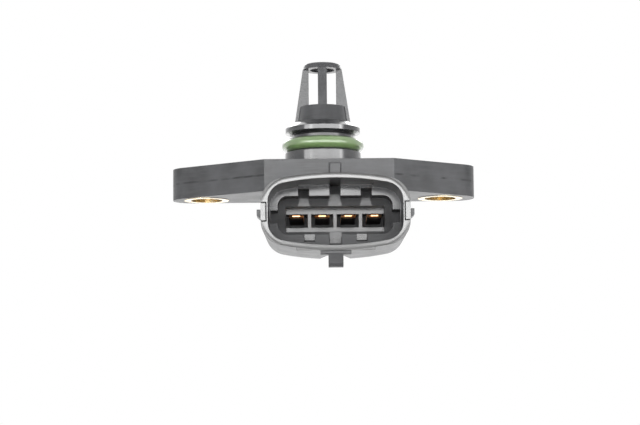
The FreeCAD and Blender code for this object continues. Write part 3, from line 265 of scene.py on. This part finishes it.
class Nodes:
    """Short ways to place and join shader nodes."""

    def __init__(self, tree):
        self.tree = tree

    def add(self, kind, **settings):
        """A node; each setting is a property or the start of an input."""
        node = self.tree.nodes.new(kind)
        for name, setting in settings.items():
            if name in node.bl_rna.properties:
                setattr(node, name, setting)
            else:
                node.inputs[name].default_value = setting
        return node

    def use(self, group, **settings):
        """A shader group with its own values."""
        node = self.add("ShaderNodeGroup")
        node.node_tree = group
        for name, setting in settings.items():
            node.inputs[name.replace("_", " ").title()].default_value = setting
        return node

    def join(self, output, socket):
        self.tree.links.new(output, socket)

    def math(self, operation, *terms):
        """A sum; each term is a socket or a number."""
        node = self.add("ShaderNodeMath", operation=operation)
        for socket, term in zip(node.inputs, terms):
            if isinstance(term, bpy.types.NodeSocket):
                self.join(term, socket)
            else:
                socket.default_value = term
        return node.outputs["Value"]

    def vector_math(self, operation, first, second=None):
        """A vector sum node; the first term is a socket."""
        node = self.add("ShaderNodeVectorMath", operation=operation)
        self.join(first, node.inputs[0])
        if isinstance(second, bpy.types.NodeSocket):
            self.join(second, node.inputs[1])
        elif second is not None:
            node.inputs[1].default_value = second
        return node

    def place(self):
        """Where a point lies on its piece."""
        return self.add("ShaderNodeTexCoord").outputs["Object"]

    def axes(self, vector):
        node = self.add("ShaderNodeSeparateXYZ")
        self.join(vector, node.inputs[0])
        return node.outputs

    def between(self, source, low, high):
        """1 where a value lies between two others, else 0."""
        return self.math("COMPARE", source, (low + high) / 2, (high - low) / 2)

    def all_of(self, first, *others):
        """Masks multiplied."""
        for other in others:
            first = self.math("MULTIPLY", first, other)
        return first

    def any_of(self, first, *others):
        """The strongest of several masks."""
        for other in others:
            first = self.math("MAXIMUM", first, other)
        return first

    def apart(self, first, second):
        """Distance between two values."""
        return self.math("ABSOLUTE", self.math("SUBTRACT", first, second))

    def diagonal(self, first, second):
        """Length of the diagonal over two sides."""
        squares = (self.math("POWER", side, 2.0) for side in (first, second))
        return self.math("SQRT", self.math("ADD", *squares))

    def noise(self, vector, scale, detail=2.0):
        node = self.add("ShaderNodeTexNoise", Scale=scale, Detail=detail)
        self.join(vector, node.inputs["Vector"])
        return node.outputs["Fac"]

    def stretched_noise(self, vector, stretch, scale, detail):
        mapping = self.add("ShaderNodeMapping", Scale=stretch)
        self.join(vector, mapping.inputs["Vector"])
        return self.noise(mapping.outputs["Vector"], scale, detail)

    def spread(self, source, low, high, to_low=0.0, to_high=1.0):
        """Stretches a range of values onto another."""
        node = self.add("ShaderNodeMapRange")
        self.join(source, node.inputs["Value"])
        for name, number in (("From Min", low), ("From Max", high), ("To Min", to_low), ("To Max", to_high)):
            node.inputs[name].default_value = number
        return node.outputs["Result"]

    def blend(self, factor, first, second):
        """A colour between two others."""
        node = self.add("ShaderNodeMix", data_type="RGBA")
        self.join(factor, node.inputs["Factor"])
        for socket, colour in ((node.inputs[6], first), (node.inputs[7], second)):
            if isinstance(colour, bpy.types.NodeSocket):
                self.join(colour, socket)
            else:
                socket.default_value = (*colour, 1)
        return node.outputs[2]

    def bump(self, height, distance, normal=None, strength=None):
        """A surface raised by a height."""
        node = self.add("ShaderNodeBump", Distance=distance)
        self.join(height, node.inputs["Height"])
        for socket, source in (("Normal", normal), ("Strength", strength)):
            if source is not None:
                self.join(source, node.inputs[socket])
        return node.outputs["Normal"]


def node_group(name, inputs, outputs):
    """An empty shader group with its sockets: name, kind and, for an input, its starting value."""
    group = bpy.data.node_groups.new(name, "ShaderNodeTree")
    for socket, kind, start in inputs:
        made = group.interface.new_socket(socket, in_out="INPUT", socket_type=kind)
        if start is not None:
            made.default_value = start
    for socket, kind in outputs:
        group.interface.new_socket(socket, in_out="OUTPUT", socket_type=kind)
    nodes = Nodes(group)
    return nodes, nodes.add("NodeGroupInput"), nodes.add("NodeGroupOutput")


# Surfaces

def moulded_surface():
    """Spark-eroded grain, flow mottling and the mask of the edges of moulded plastic, where a sheen is
    painted.
    """
    nodes, given, made = node_group(
        "moulded_surface",
        [("Grain Scale", "NodeSocketFloat", GRAIN_SCALE), ("Grain Depth", "NodeSocketFloat", GRAIN_DEPTH),
         ("Edge Radius", "NodeSocketFloat", EDGE_RADIUS)],
        [("Normal", "NodeSocketVector"), ("Mottle", "NodeSocketFloat"), ("Edge", "NodeSocketFloat")])
    place = nodes.place()
    grain = nodes.add("ShaderNodeTexNoise", Detail=3.0, Roughness=0.6)
    nodes.join(place, grain.inputs["Vector"])
    nodes.join(given.outputs["Grain Scale"], grain.inputs["Scale"])
    soft_edge = nodes.add("ShaderNodeBevel", samples=4)
    nodes.join(given.outputs["Edge Radius"], soft_edge.inputs["Radius"])
    rounded = soft_edge.outputs["Normal"]
    nodes.join(nodes.bump(grain.outputs["Fac"], RELIEF, rounded, given.outputs["Grain Depth"]),
               made.inputs["Normal"])
    nodes.join(nodes.noise(place, MOTTLE_SCALE, detail=4.0), made.inputs["Mottle"])
    flat = nodes.add("ShaderNodeNewGeometry").outputs["Normal"]
    turned = nodes.vector_math("DOT_PRODUCT", flat, rounded).outputs["Value"]
    nodes.join(nodes.spread(turned, *EDGE_TURN), made.inputs["Edge"])
    return nodes.tree


def turned_surface():
    """Fine rings left by a cutting tool, round the Z axis through a given point."""
    nodes, given, made = node_group(
        "turned_surface",
        [("Centre", "NodeSocketVector", None), ("Ring Scale", "NodeSocketFloat", RING_SCALE),
         ("Ring Depth", "NodeSocketFloat", RING_DEPTH)],
        [("Normal", "NodeSocketVector"), ("Smudge", "NodeSocketFloat")])
    place = nodes.place()
    centred = nodes.vector_math("SUBTRACT", place, given.outputs["Centre"])
    rings = nodes.add("ShaderNodeTexWave", wave_type="RINGS", rings_direction="Z",
                      Distortion=0.6, Detail=2.0)
    nodes.join(centred.outputs["Vector"], rings.inputs["Vector"])
    nodes.join(given.outputs["Ring Scale"], rings.inputs["Scale"])
    nodes.join(nodes.bump(rings.outputs["Fac"], RELIEF, strength=given.outputs["Ring Depth"]),
               made.inputs["Normal"])
    nodes.join(nodes.noise(place, SMUDGE_SCALE, detail=5.0), made.inputs["Smudge"])
    return nodes.tree


def rim_slope(nodes, x, z):
    """How far the mouth's lip has rounded off: 0 inside it and beside the latches, 1 at its edge."""
    across = nodes.apart(x, CONNECTOR_X)
    up = nodes.apart(z, CONNECTOR_Z)
    reach = nodes.diagonal(across, nodes.math("ADD", up, RIM_CROWN - RIM_HALF_HEIGHT))
    corner_up = nodes.any_of(nodes.math("ADD", nodes.math("SUBTRACT", reach, RIM_CROWN), RIM_CORNER), 0.0)
    corner_across = nodes.any_of(nodes.math("SUBTRACT", across, RIM_HALF_WIDTH - RIM_CORNER), 0.0)
    inside = nodes.math("SUBTRACT", RIM_CORNER, nodes.diagonal(corner_up, corner_across))
    share = nodes.spread(inside, 0.0, LIP_WIDTH)
    fall = nodes.math("POWER", nodes.math("SUBTRACT", 1.0, share), 2.0)
    return nodes.all_of(fall, nodes.spread(up, LIP_START, LIP_FULL))


def slot_patches(nodes, x, z):
    """The polish of the bright patches on the well's face, which the painted shade of that face leaves out.
    """
    marks = []
    for middle_x, half_width, low_z, high_z, flare, polish in SLOT_PATCHES:
        half = nodes.math("MULTIPLY_ADD", nodes.math("SUBTRACT", high_z, z), flare, half_width)
        in_width = nodes.math("LESS_THAN", nodes.apart(x, CONNECTOR_X + middle_x), half)
        marks.append(nodes.all_of(in_width, nodes.between(z, low_z, high_z), polish))
    return nodes.any_of(*marks)


def housing_zones():
    """Where the housing's mould was polished, its rim, whose paler colour is a painted highlight, its
    pockets, its matt places, painted darker as shade on the well's face, and its flow lines.
    """
    zones = ("Polish", "Rim", "Lip", "Pocket", "Dull_Shade", "Flow", "Parting", "Brushed")
    nodes, _, made = node_group("housing_zones", [], [(zone, "NodeSocketFloat") for zone in zones])
    place = nodes.place()
    x, y, z = nodes.axes(place)
    facing = nodes.add("ShaderNodeNewGeometry").outputs["True Normal"]
    towards_front = nodes.vector_math("DOT_PRODUCT", facing, (0, -1, 0)).outputs["Value"]
    faces_front = nodes.math("GREATER_THAN", towards_front, FRONT_TURN)

    def on_front_face(depth):
        """Mask of the flats that face the front at one depth."""
        return nodes.all_of(nodes.between(y, depth - FACE_REACH, depth + FACE_REACH), faces_front)

    below_flange = nodes.math("LESS_THAN", z, PORT_FOOT)
    port_foot = nodes.all_of(nodes.math("GREATER_THAN", z, PORT_FOOT), nodes.math("LESS_THAN", z, DISC_TOP))
    groove = nodes.between(z, GROOVE_FOOT, GROOVE_TOP)
    cage = nodes.math("GREATER_THAN", z, DISC_TOP)
    rim, key_step, well = (on_front_face(depth) for depth in (RIM_Y, KEY_STEP_Y, WELL_Y))
    slope = rim_slope(nodes, x, z)
    marks = slot_patches(nodes, x, z)

    rim_shine = nodes.all_of(nodes.spread(z, RIM_DULL_Z, RIM_BRIGHT_Z, *RIM_POLISH),
                             nodes.spread(slope, 0.0, LIP_SHINE_END, 1.0, 0.0))
    step_shine = nodes.spread(z, STEP_DULL_Z, STEP_BRIGHT_Z, *STEP_POLISH)
    polish = nodes.any_of(
        nodes.all_of(rim, below_flange, rim_shine),
        nodes.all_of(key_step, below_flange, step_shine),
        nodes.all_of(well, marks),
        nodes.math("SUBTRACT", nodes.all_of(port_foot, FOOT_POLISH), nodes.all_of(groove, GROOVE_LOSS)),
        nodes.all_of(cage, CAGE_POLISH),
        nodes.all_of(cage, on_front_face(CAGE_FLAT_Y), CAGE_FLAT_POLISH),
        *(nodes.all_of(on_front_face(depth), below_flange, share) for depth, share in POLISHED_FACES))
    # Rougher and darker places; on the well's face around the bright patches the darkness is painted shade.
    dull_shade = nodes.any_of(
        nodes.all_of(well, nodes.math("LESS_THAN", marks, FAINTEST_MARK)),
        nodes.math("LESS_THAN", z, LATCH_TOP_Z),
        nodes.all_of(key_step, nodes.spread(z, STEP_MATT_Z, STEP_CLEAR_Z, *STEP_DULLNESS)))
    pocket = nodes.all_of(
        nodes.between(y, POCKET_FACE_Y + POCKET_FRONT_GAP, POCKET_FLOOR_Y + POCKET_FLOOR_REACH),
        nodes.between(x, CONNECTOR_X - POCKETS_HALF_WIDTH, CONNECTOR_X + POCKETS_HALF_WIDTH),
        nodes.between(z, CONNECTOR_Z - POCKET_HALF_HEIGHT, CONNECTOR_Z + POCKET_HALF_HEIGHT))
    off_front = nodes.math("LESS_THAN", nodes.math("ABSOLUTE", towards_front), SQUARE_TURN)
    unbroken = nodes.spread(nodes.noise(place, PARTING_GAPS_SCALE), *PARTING_GAPS_RANGE)
    parting = nodes.all_of(nodes.between(z, PARTING_Z - PARTING_HALF_WIDTH, PARTING_Z + PARTING_HALF_WIDTH),
                           off_front, unbroken)
    brushed = nodes.all_of(on_front_face(FRONT_FACE_Y),
                           nodes.stretched_noise(place, BRUSH_STRETCH, BRUSH_SCALE, detail=3.0))

    nodes.join(polish, made.inputs["Polish"])
    # The rim's front: painted paler as a highlight, with rounder edges and more gloss.
    nodes.join(nodes.math("LESS_THAN", y, RIM_Y + RIM_REACH), made.inputs["Rim"])
    nodes.join(nodes.all_of(slope, rim, -LIP_FALL), made.inputs["Lip"])
    nodes.join(pocket, made.inputs["Pocket"])
    nodes.join(dull_shade, made.inputs["Dull_Shade"])
    nodes.join(nodes.stretched_noise(place, FLOW_STRETCH, FLOW_SCALE, detail=4.0), made.inputs["Flow"])
    nodes.join(parting, made.inputs["Parting"])
    nodes.join(brushed, made.inputs["Brushed"])
    return nodes.tree


MOULDED = moulded_surface()
TURNED = turned_surface()
ZONES = housing_zones()


# Finishes

def middle(name):
    """Middle of a CAD node."""
    low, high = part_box(name)
    return (low + high) / 2


def material(name):
    """A material with its shader and the tools to fill it."""
    made = bpy.data.materials.new(name)
    made.use_nodes = True
    return made, Nodes(made.node_tree), made.node_tree.nodes["Principled BSDF"]


def moulded_plastic(name, dark, light, rough, edge_paling=EDGE_PALING, **grain):
    """Moulded or cast stuff: mottling between two shades, paler at the edges as a painted sheen."""
    made, nodes, shader = material(name)
    surface = nodes.use(MOULDED, **grain)
    mottle = surface.outputs["Mottle"]
    mottled = nodes.blend(nodes.spread(mottle, *MOTTLE_RANGE), dark, light)
    # Painted sheen: the edges are coloured paler.
    edge_sheen = tuple(part + edge_paling for part in light)
    edge = nodes.spread(surface.outputs["Edge"], 0.0, 1.0, 0.0, EDGE_COVER)
    nodes.join(nodes.blend(edge, mottled, edge_sheen), shader.inputs["Base Color"])
    roughness = nodes.spread(mottle, *MOTTLE_RANGE, rough - MOTTLE_ROUGHENING, rough + MOTTLE_ROUGHENING)
    nodes.join(roughness, shader.inputs["Roughness"])
    nodes.join(surface.outputs["Normal"], shader.inputs["Normal"])
    return made


def ring_finish():
    """Green rubber, which light enters a little, under a film of mounting oil."""
    made = moulded_plastic("ring_rubber", *RING_GREENS, RUBBER_ROUGHNESS, edge_paling=0.0,
                           grain_scale=RUBBER_GRAIN_SCALE, grain_depth=RUBBER_GRAIN_DEPTH)
    shader = made.node_tree.nodes["Principled BSDF"]
    shader.inputs["Subsurface Weight"].default_value = RUBBER_LIGHT_SHARE
    shader.inputs["Subsurface Radius"].default_value = RUBBER_LIGHT_SPREAD
    shader.inputs["Subsurface Scale"].default_value = RUBBER_LIGHT_DEPTH
    shader.inputs["Coat Weight"].default_value = 1.0
    shader.inputs["Coat Roughness"].default_value = GLOSS_BLUR
    shader.inputs["Coat IOR"].default_value = OIL_IOR
    return made


def housing_finish():
    """Glass-filled black plastic: grained outside, polished in the socket and on the port."""
    made, nodes, shader = material("housing_plastic")
    zones = nodes.use(ZONES).outputs
    polish, rim = zones["Polish"], zones["Rim"]
    surface = nodes.use(MOULDED)
    nodes.join(nodes.spread(polish, 0.0, 1.0, *HOUSING_GRAIN), surface.inputs["Grain Depth"])
    nodes.join(nodes.spread(rim, 0.0, 1.0, *HOUSING_EDGE), surface.inputs["Edge Radius"])
    mottle = surface.outputs["Mottle"]
    shade = nodes.blend(nodes.spread(mottle, *HOUSING_MOTTLE_RANGE), *HOUSING_SHADES)
    for zone, low, high, cover, tint in HOUSING_TINTS:
        mask = surface.outputs["Edge"] if zone == "Edge" else zones[zone]
        shade = nodes.blend(nodes.spread(mask, low, high, 0.0, cover), shade, tint)
    nodes.join(shade, shader.inputs["Base Color"])
    roughness = nodes.spread(mottle, *MOTTLE_RANGE, *HOUSING_ROUGHNESS)
    for zone, change in ROUGHNESS_CHANGES:
        roughness = nodes.math("MULTIPLY_ADD", zones[zone], change, roughness)
    nodes.join(roughness, shader.inputs["Roughness"])
    gloss = nodes.all_of(polish, nodes.spread(rim, 0.0, 1.0, *HOUSING_GLOSS))
    nodes.join(gloss, shader.inputs["Coat Weight"])
    shader.inputs["Coat Roughness"].default_value = GLOSS_BLUR
    nodes.join(nodes.bump(zones["Lip"], 1.0, surface.outputs["Normal"]), shader.inputs["Normal"])
    return made


def metal(name, **rings):
    """A metal with tool marks, still without its colour and roughness, and the mask of its smudges."""
    made, nodes, shader = material(name)
    surface = nodes.use(TURNED, **rings)
    nodes.join(surface.outputs["Normal"], shader.inputs["Normal"])
    shader.inputs["Metallic"].default_value = 1.0
    return made, nodes, shader, surface.outputs["Smudge"]


def smudged(nodes, smudge, shades):
    """A metal's colour, from its clean shade to its smudged one."""
    return nodes.blend(nodes.spread(smudge, *SMUDGE_TINT_RANGE), *shades)


def plain_metal(name, shades, **rings):
    """Metal of one kind all over, such as drawn wire or pressed steel."""
    made, nodes, shader, smudge = metal(name, **rings)
    nodes.join(smudged(nodes, smudge, shades), shader.inputs["Base Color"])
    roughness = nodes.spread(smudge, *SMUDGE_DULL_RANGE, PLAIN_METAL_ROUGHNESS,
                             PLAIN_METAL_ROUGHNESS + SMUDGE_ROUGHENING)
    nodes.join(roughness, shader.inputs["Roughness"])
    return made


def bushing_finish(name):
    """Turned brass, pale and plated on its end faces, and bare in its bore, which is painted paler still to
    offset the shade inside it.
    """
    centre = middle(name)
    made, nodes, shader, smudge = metal(name + "_brass", centre=centre)
    centred = nodes.add("ShaderNodeMapping", Location=(-centre.x, -centre.y, 0), Scale=(1, 1, 0))
    nodes.join(nodes.place(), centred.inputs["Vector"])
    from_axis = nodes.vector_math("LENGTH", centred.outputs["Vector"]).outputs["Value"]
    in_bore = nodes.math("LESS_THAN", from_axis, BUSHING_BORE + BORE_REACH)
    brass = nodes.blend(in_bore, smudged(nodes, smudge, PLATED_BRASS), smudged(nodes, smudge, BARE_BRASS_PAINTED_PALER))
    nodes.join(brass, shader.inputs["Base Color"])
    nodes.join(nodes.spread(smudge, *SMUDGE_DULL_RANGE, *BRASS_ROUGHNESS), shader.inputs["Roughness"])
    return made


def contact_finish():
    """Copper strip, bright at its coined tip, with painted shade, near black and rougher, on its downward
    faces behind the tip.
    """
    made, nodes, shader, smudge = metal("contact_plating", ring_scale=1500.0, ring_depth=0.06)
    facing = nodes.axes(nodes.add("ShaderNodeNewGeometry").outputs["True Normal"])
    behind_tip = nodes.math("GREATER_THAN", nodes.axes(nodes.place())["Y"], BLADE_TIP_Y + TIP_REACH)
    # Painted shade: the strip's downward faces behind its tip are coloured near black.
    underside = nodes.all_of(behind_tip, nodes.math("LESS_THAN", facing["Z"], DOWNWARD_TURN))
    copper = nodes.blend(underside, smudged(nodes, smudge, COPPER), BLADE_UNDERSIDE_SHADE)
    nodes.join(copper, shader.inputs["Base Color"])
    nodes.join(nodes.spread(underside, 0.0, 1.0, *BLADE_ROUGHNESS), shader.inputs["Roughness"])
    return made


def dress(finish, *names):
    """Gives CAD nodes a material."""
    for name in names:
        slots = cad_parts[name].data.materials
        slots.clear()
        slots.append(finish)


ring_rubber = ring_finish()
dress(housing_finish(), "housing")
dress(ring_rubber, "port_o_ring")
for name, dark, light, rough, grain, pieces in PLAIN_FINISHES:
    dress(moulded_plastic(name, dark, light, rough, **grain), *pieces)
for bushing in ("bushing_left", "bushing_right"):
    dress(bushing_finish(bushing), bushing)
dress(contact_finish(), "contact_pin_1", "contact_pin_2", "contact_pin_3", "contact_pin_4")
dress(plain_metal("tinned_wire", TINNED_WIRE, ring_depth=0.05),
      "thermistor_lead_left", "thermistor_lead_right")
dress(plain_metal("cell_steel", CELL_STEEL, centre=middle("cell_frame")), "cell_frame")


# Sealing ring

def new_object(name, mesh):
    """An object made of a bmesh, in the scene."""
    data = bpy.data.meshes.new(name)
    mesh.to_mesh(data)
    mesh.free()
    made = bpy.data.objects.new(name, data)
    bpy.context.scene.collection.objects.link(made)
    return made


def sealing_ring():
    """The ring's round section, swept round the port in place of the CAD ring's twelve flats."""
    low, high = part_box("port_o_ring")
    section = (high.z - low.z) / 2
    centre = (low + high) / 2
    to_section = Vector(((high.x - low.x) / 2 - section, 0, 0))
    upright = Matrix.Rotation(pi / 2, 4, "X")
    mesh = bmesh.new()
    bmesh.ops.create_circle(mesh, segments=RING_SECTION_SIDES, radius=section,
                            matrix=Matrix.Translation(centre + to_section) @ upright)
    bmesh.ops.spin(mesh, geom=mesh.verts[:] + mesh.edges[:], cent=centre, axis=(0, 0, 1), angle=2 * pi,
                   steps=RING_STEPS, use_merge=True)
    bmesh.ops.recalc_face_normals(mesh, faces=mesh.faces)
    for face in mesh.faces:
        face.smooth = True
    ring = new_object("sealing_ring", mesh)
    ring.data.materials.append(ring_rubber)
    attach(ring, "root")
    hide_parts("port_o_ring")


sealing_ring()


# Floor, light and camera

def floor():
    """Pale paper under the sensor, near white to the eye and to what mirrors it."""
    mesh = bmesh.new()
    bmesh.ops.create_circle(mesh, cap_ends=True, segments=FLOOR_SIDES, radius=FLOOR_RADIUS,
                            matrix=Matrix.Translation((0, 0, FLOOR_HEIGHT)))
    plane = new_object("floor", mesh)
    made, nodes, shader = material("floor_paper")
    shader.inputs["Base Color"].default_value = (FLOOR_WHITE, FLOOR_WHITE, FLOOR_WHITE, 1)
    shader.inputs["Roughness"].default_value = FLOOR_ROUGHNESS
    shader.inputs["Emission Color"].default_value = (1, 1, 1, 1)
    ray = nodes.add("ShaderNodeLightPath").outputs
    glow = nodes.any_of(nodes.all_of(ray["Is Camera Ray"], FLOOR_GLOW),
                        nodes.all_of(ray["Is Glossy Ray"], FLOOR_MIRRORED_GLOW))
    nodes.join(glow, shader.inputs["Emission Strength"])
    plane.data.materials.append(made)


def softbox(name, place, width, height, brightness):
    """A soft rectangular lamp that faces the sensor; brightness is its own radiance."""
    lamp = bpy.data.lights.new(name, "AREA")
    lamp.shape = "RECTANGLE"
    lamp.size = width
    lamp.size_y = height
    lamp.energy = brightness * pi * width * height
    holder = bpy.data.objects.new(name, lamp)
    holder.visible_camera = False
    bpy.context.scene.collection.objects.link(holder)
    turn = (-place).to_track_quat("-Z", "Y").to_matrix().to_4x4()
    holder.matrix_world = Matrix.Translation(place) @ turn


def surroundings():
    """A white room: full white to the eye and in reflections, dimmer as a light."""
    world = bpy.data.worlds.new("white_room")
    bpy.context.scene.world = world
    world.use_nodes = True
    nodes = Nodes(world.node_tree)
    background = world.node_tree.nodes["Background"]
    background.inputs["Color"].default_value = (1, 1, 1, 1)
    ray = nodes.add("ShaderNodeLightPath").outputs
    seen = nodes.any_of(ray["Is Camera Ray"], ray["Is Glossy Ray"], ray["Is Transmission Ray"])
    nodes.join(nodes.spread(seen, 0.0, 1.0, ROOM_LIGHT, 1.0), background.inputs["Strength"])


def camera():
    lens = bpy.data.cameras.new("camera")
    lens.lens = CAMERA_LENS
    lens.clip_start = NEAREST_SEEN
    holder = bpy.data.objects.new("camera", lens)
    bpy.context.scene.collection.objects.link(holder)
    holder.matrix_world = (Matrix.Translation(CAMERA_PLACE)
                           @ Matrix.Rotation(pi / 2 + CAMERA_PITCH, 4, "X")
                           @ Matrix.Rotation(CAMERA_ROLL, 4, "Z"))
    bpy.context.scene.camera = holder


floor()
for name, turn in PANELS:
    place = Vector((PANEL_DISTANCE * sin(turn), -PANEL_DISTANCE * cos(turn), PANEL_HEIGHT))
    softbox(name, place, PANEL_WIDTH, PANEL_DEPTH, PANEL_BRIGHTNESS)
for lamp in SOFTBOXES:
    softbox(*lamp)
surroundings()
camera()

bpy.context.scene.view_settings.view_transform = "Standard"
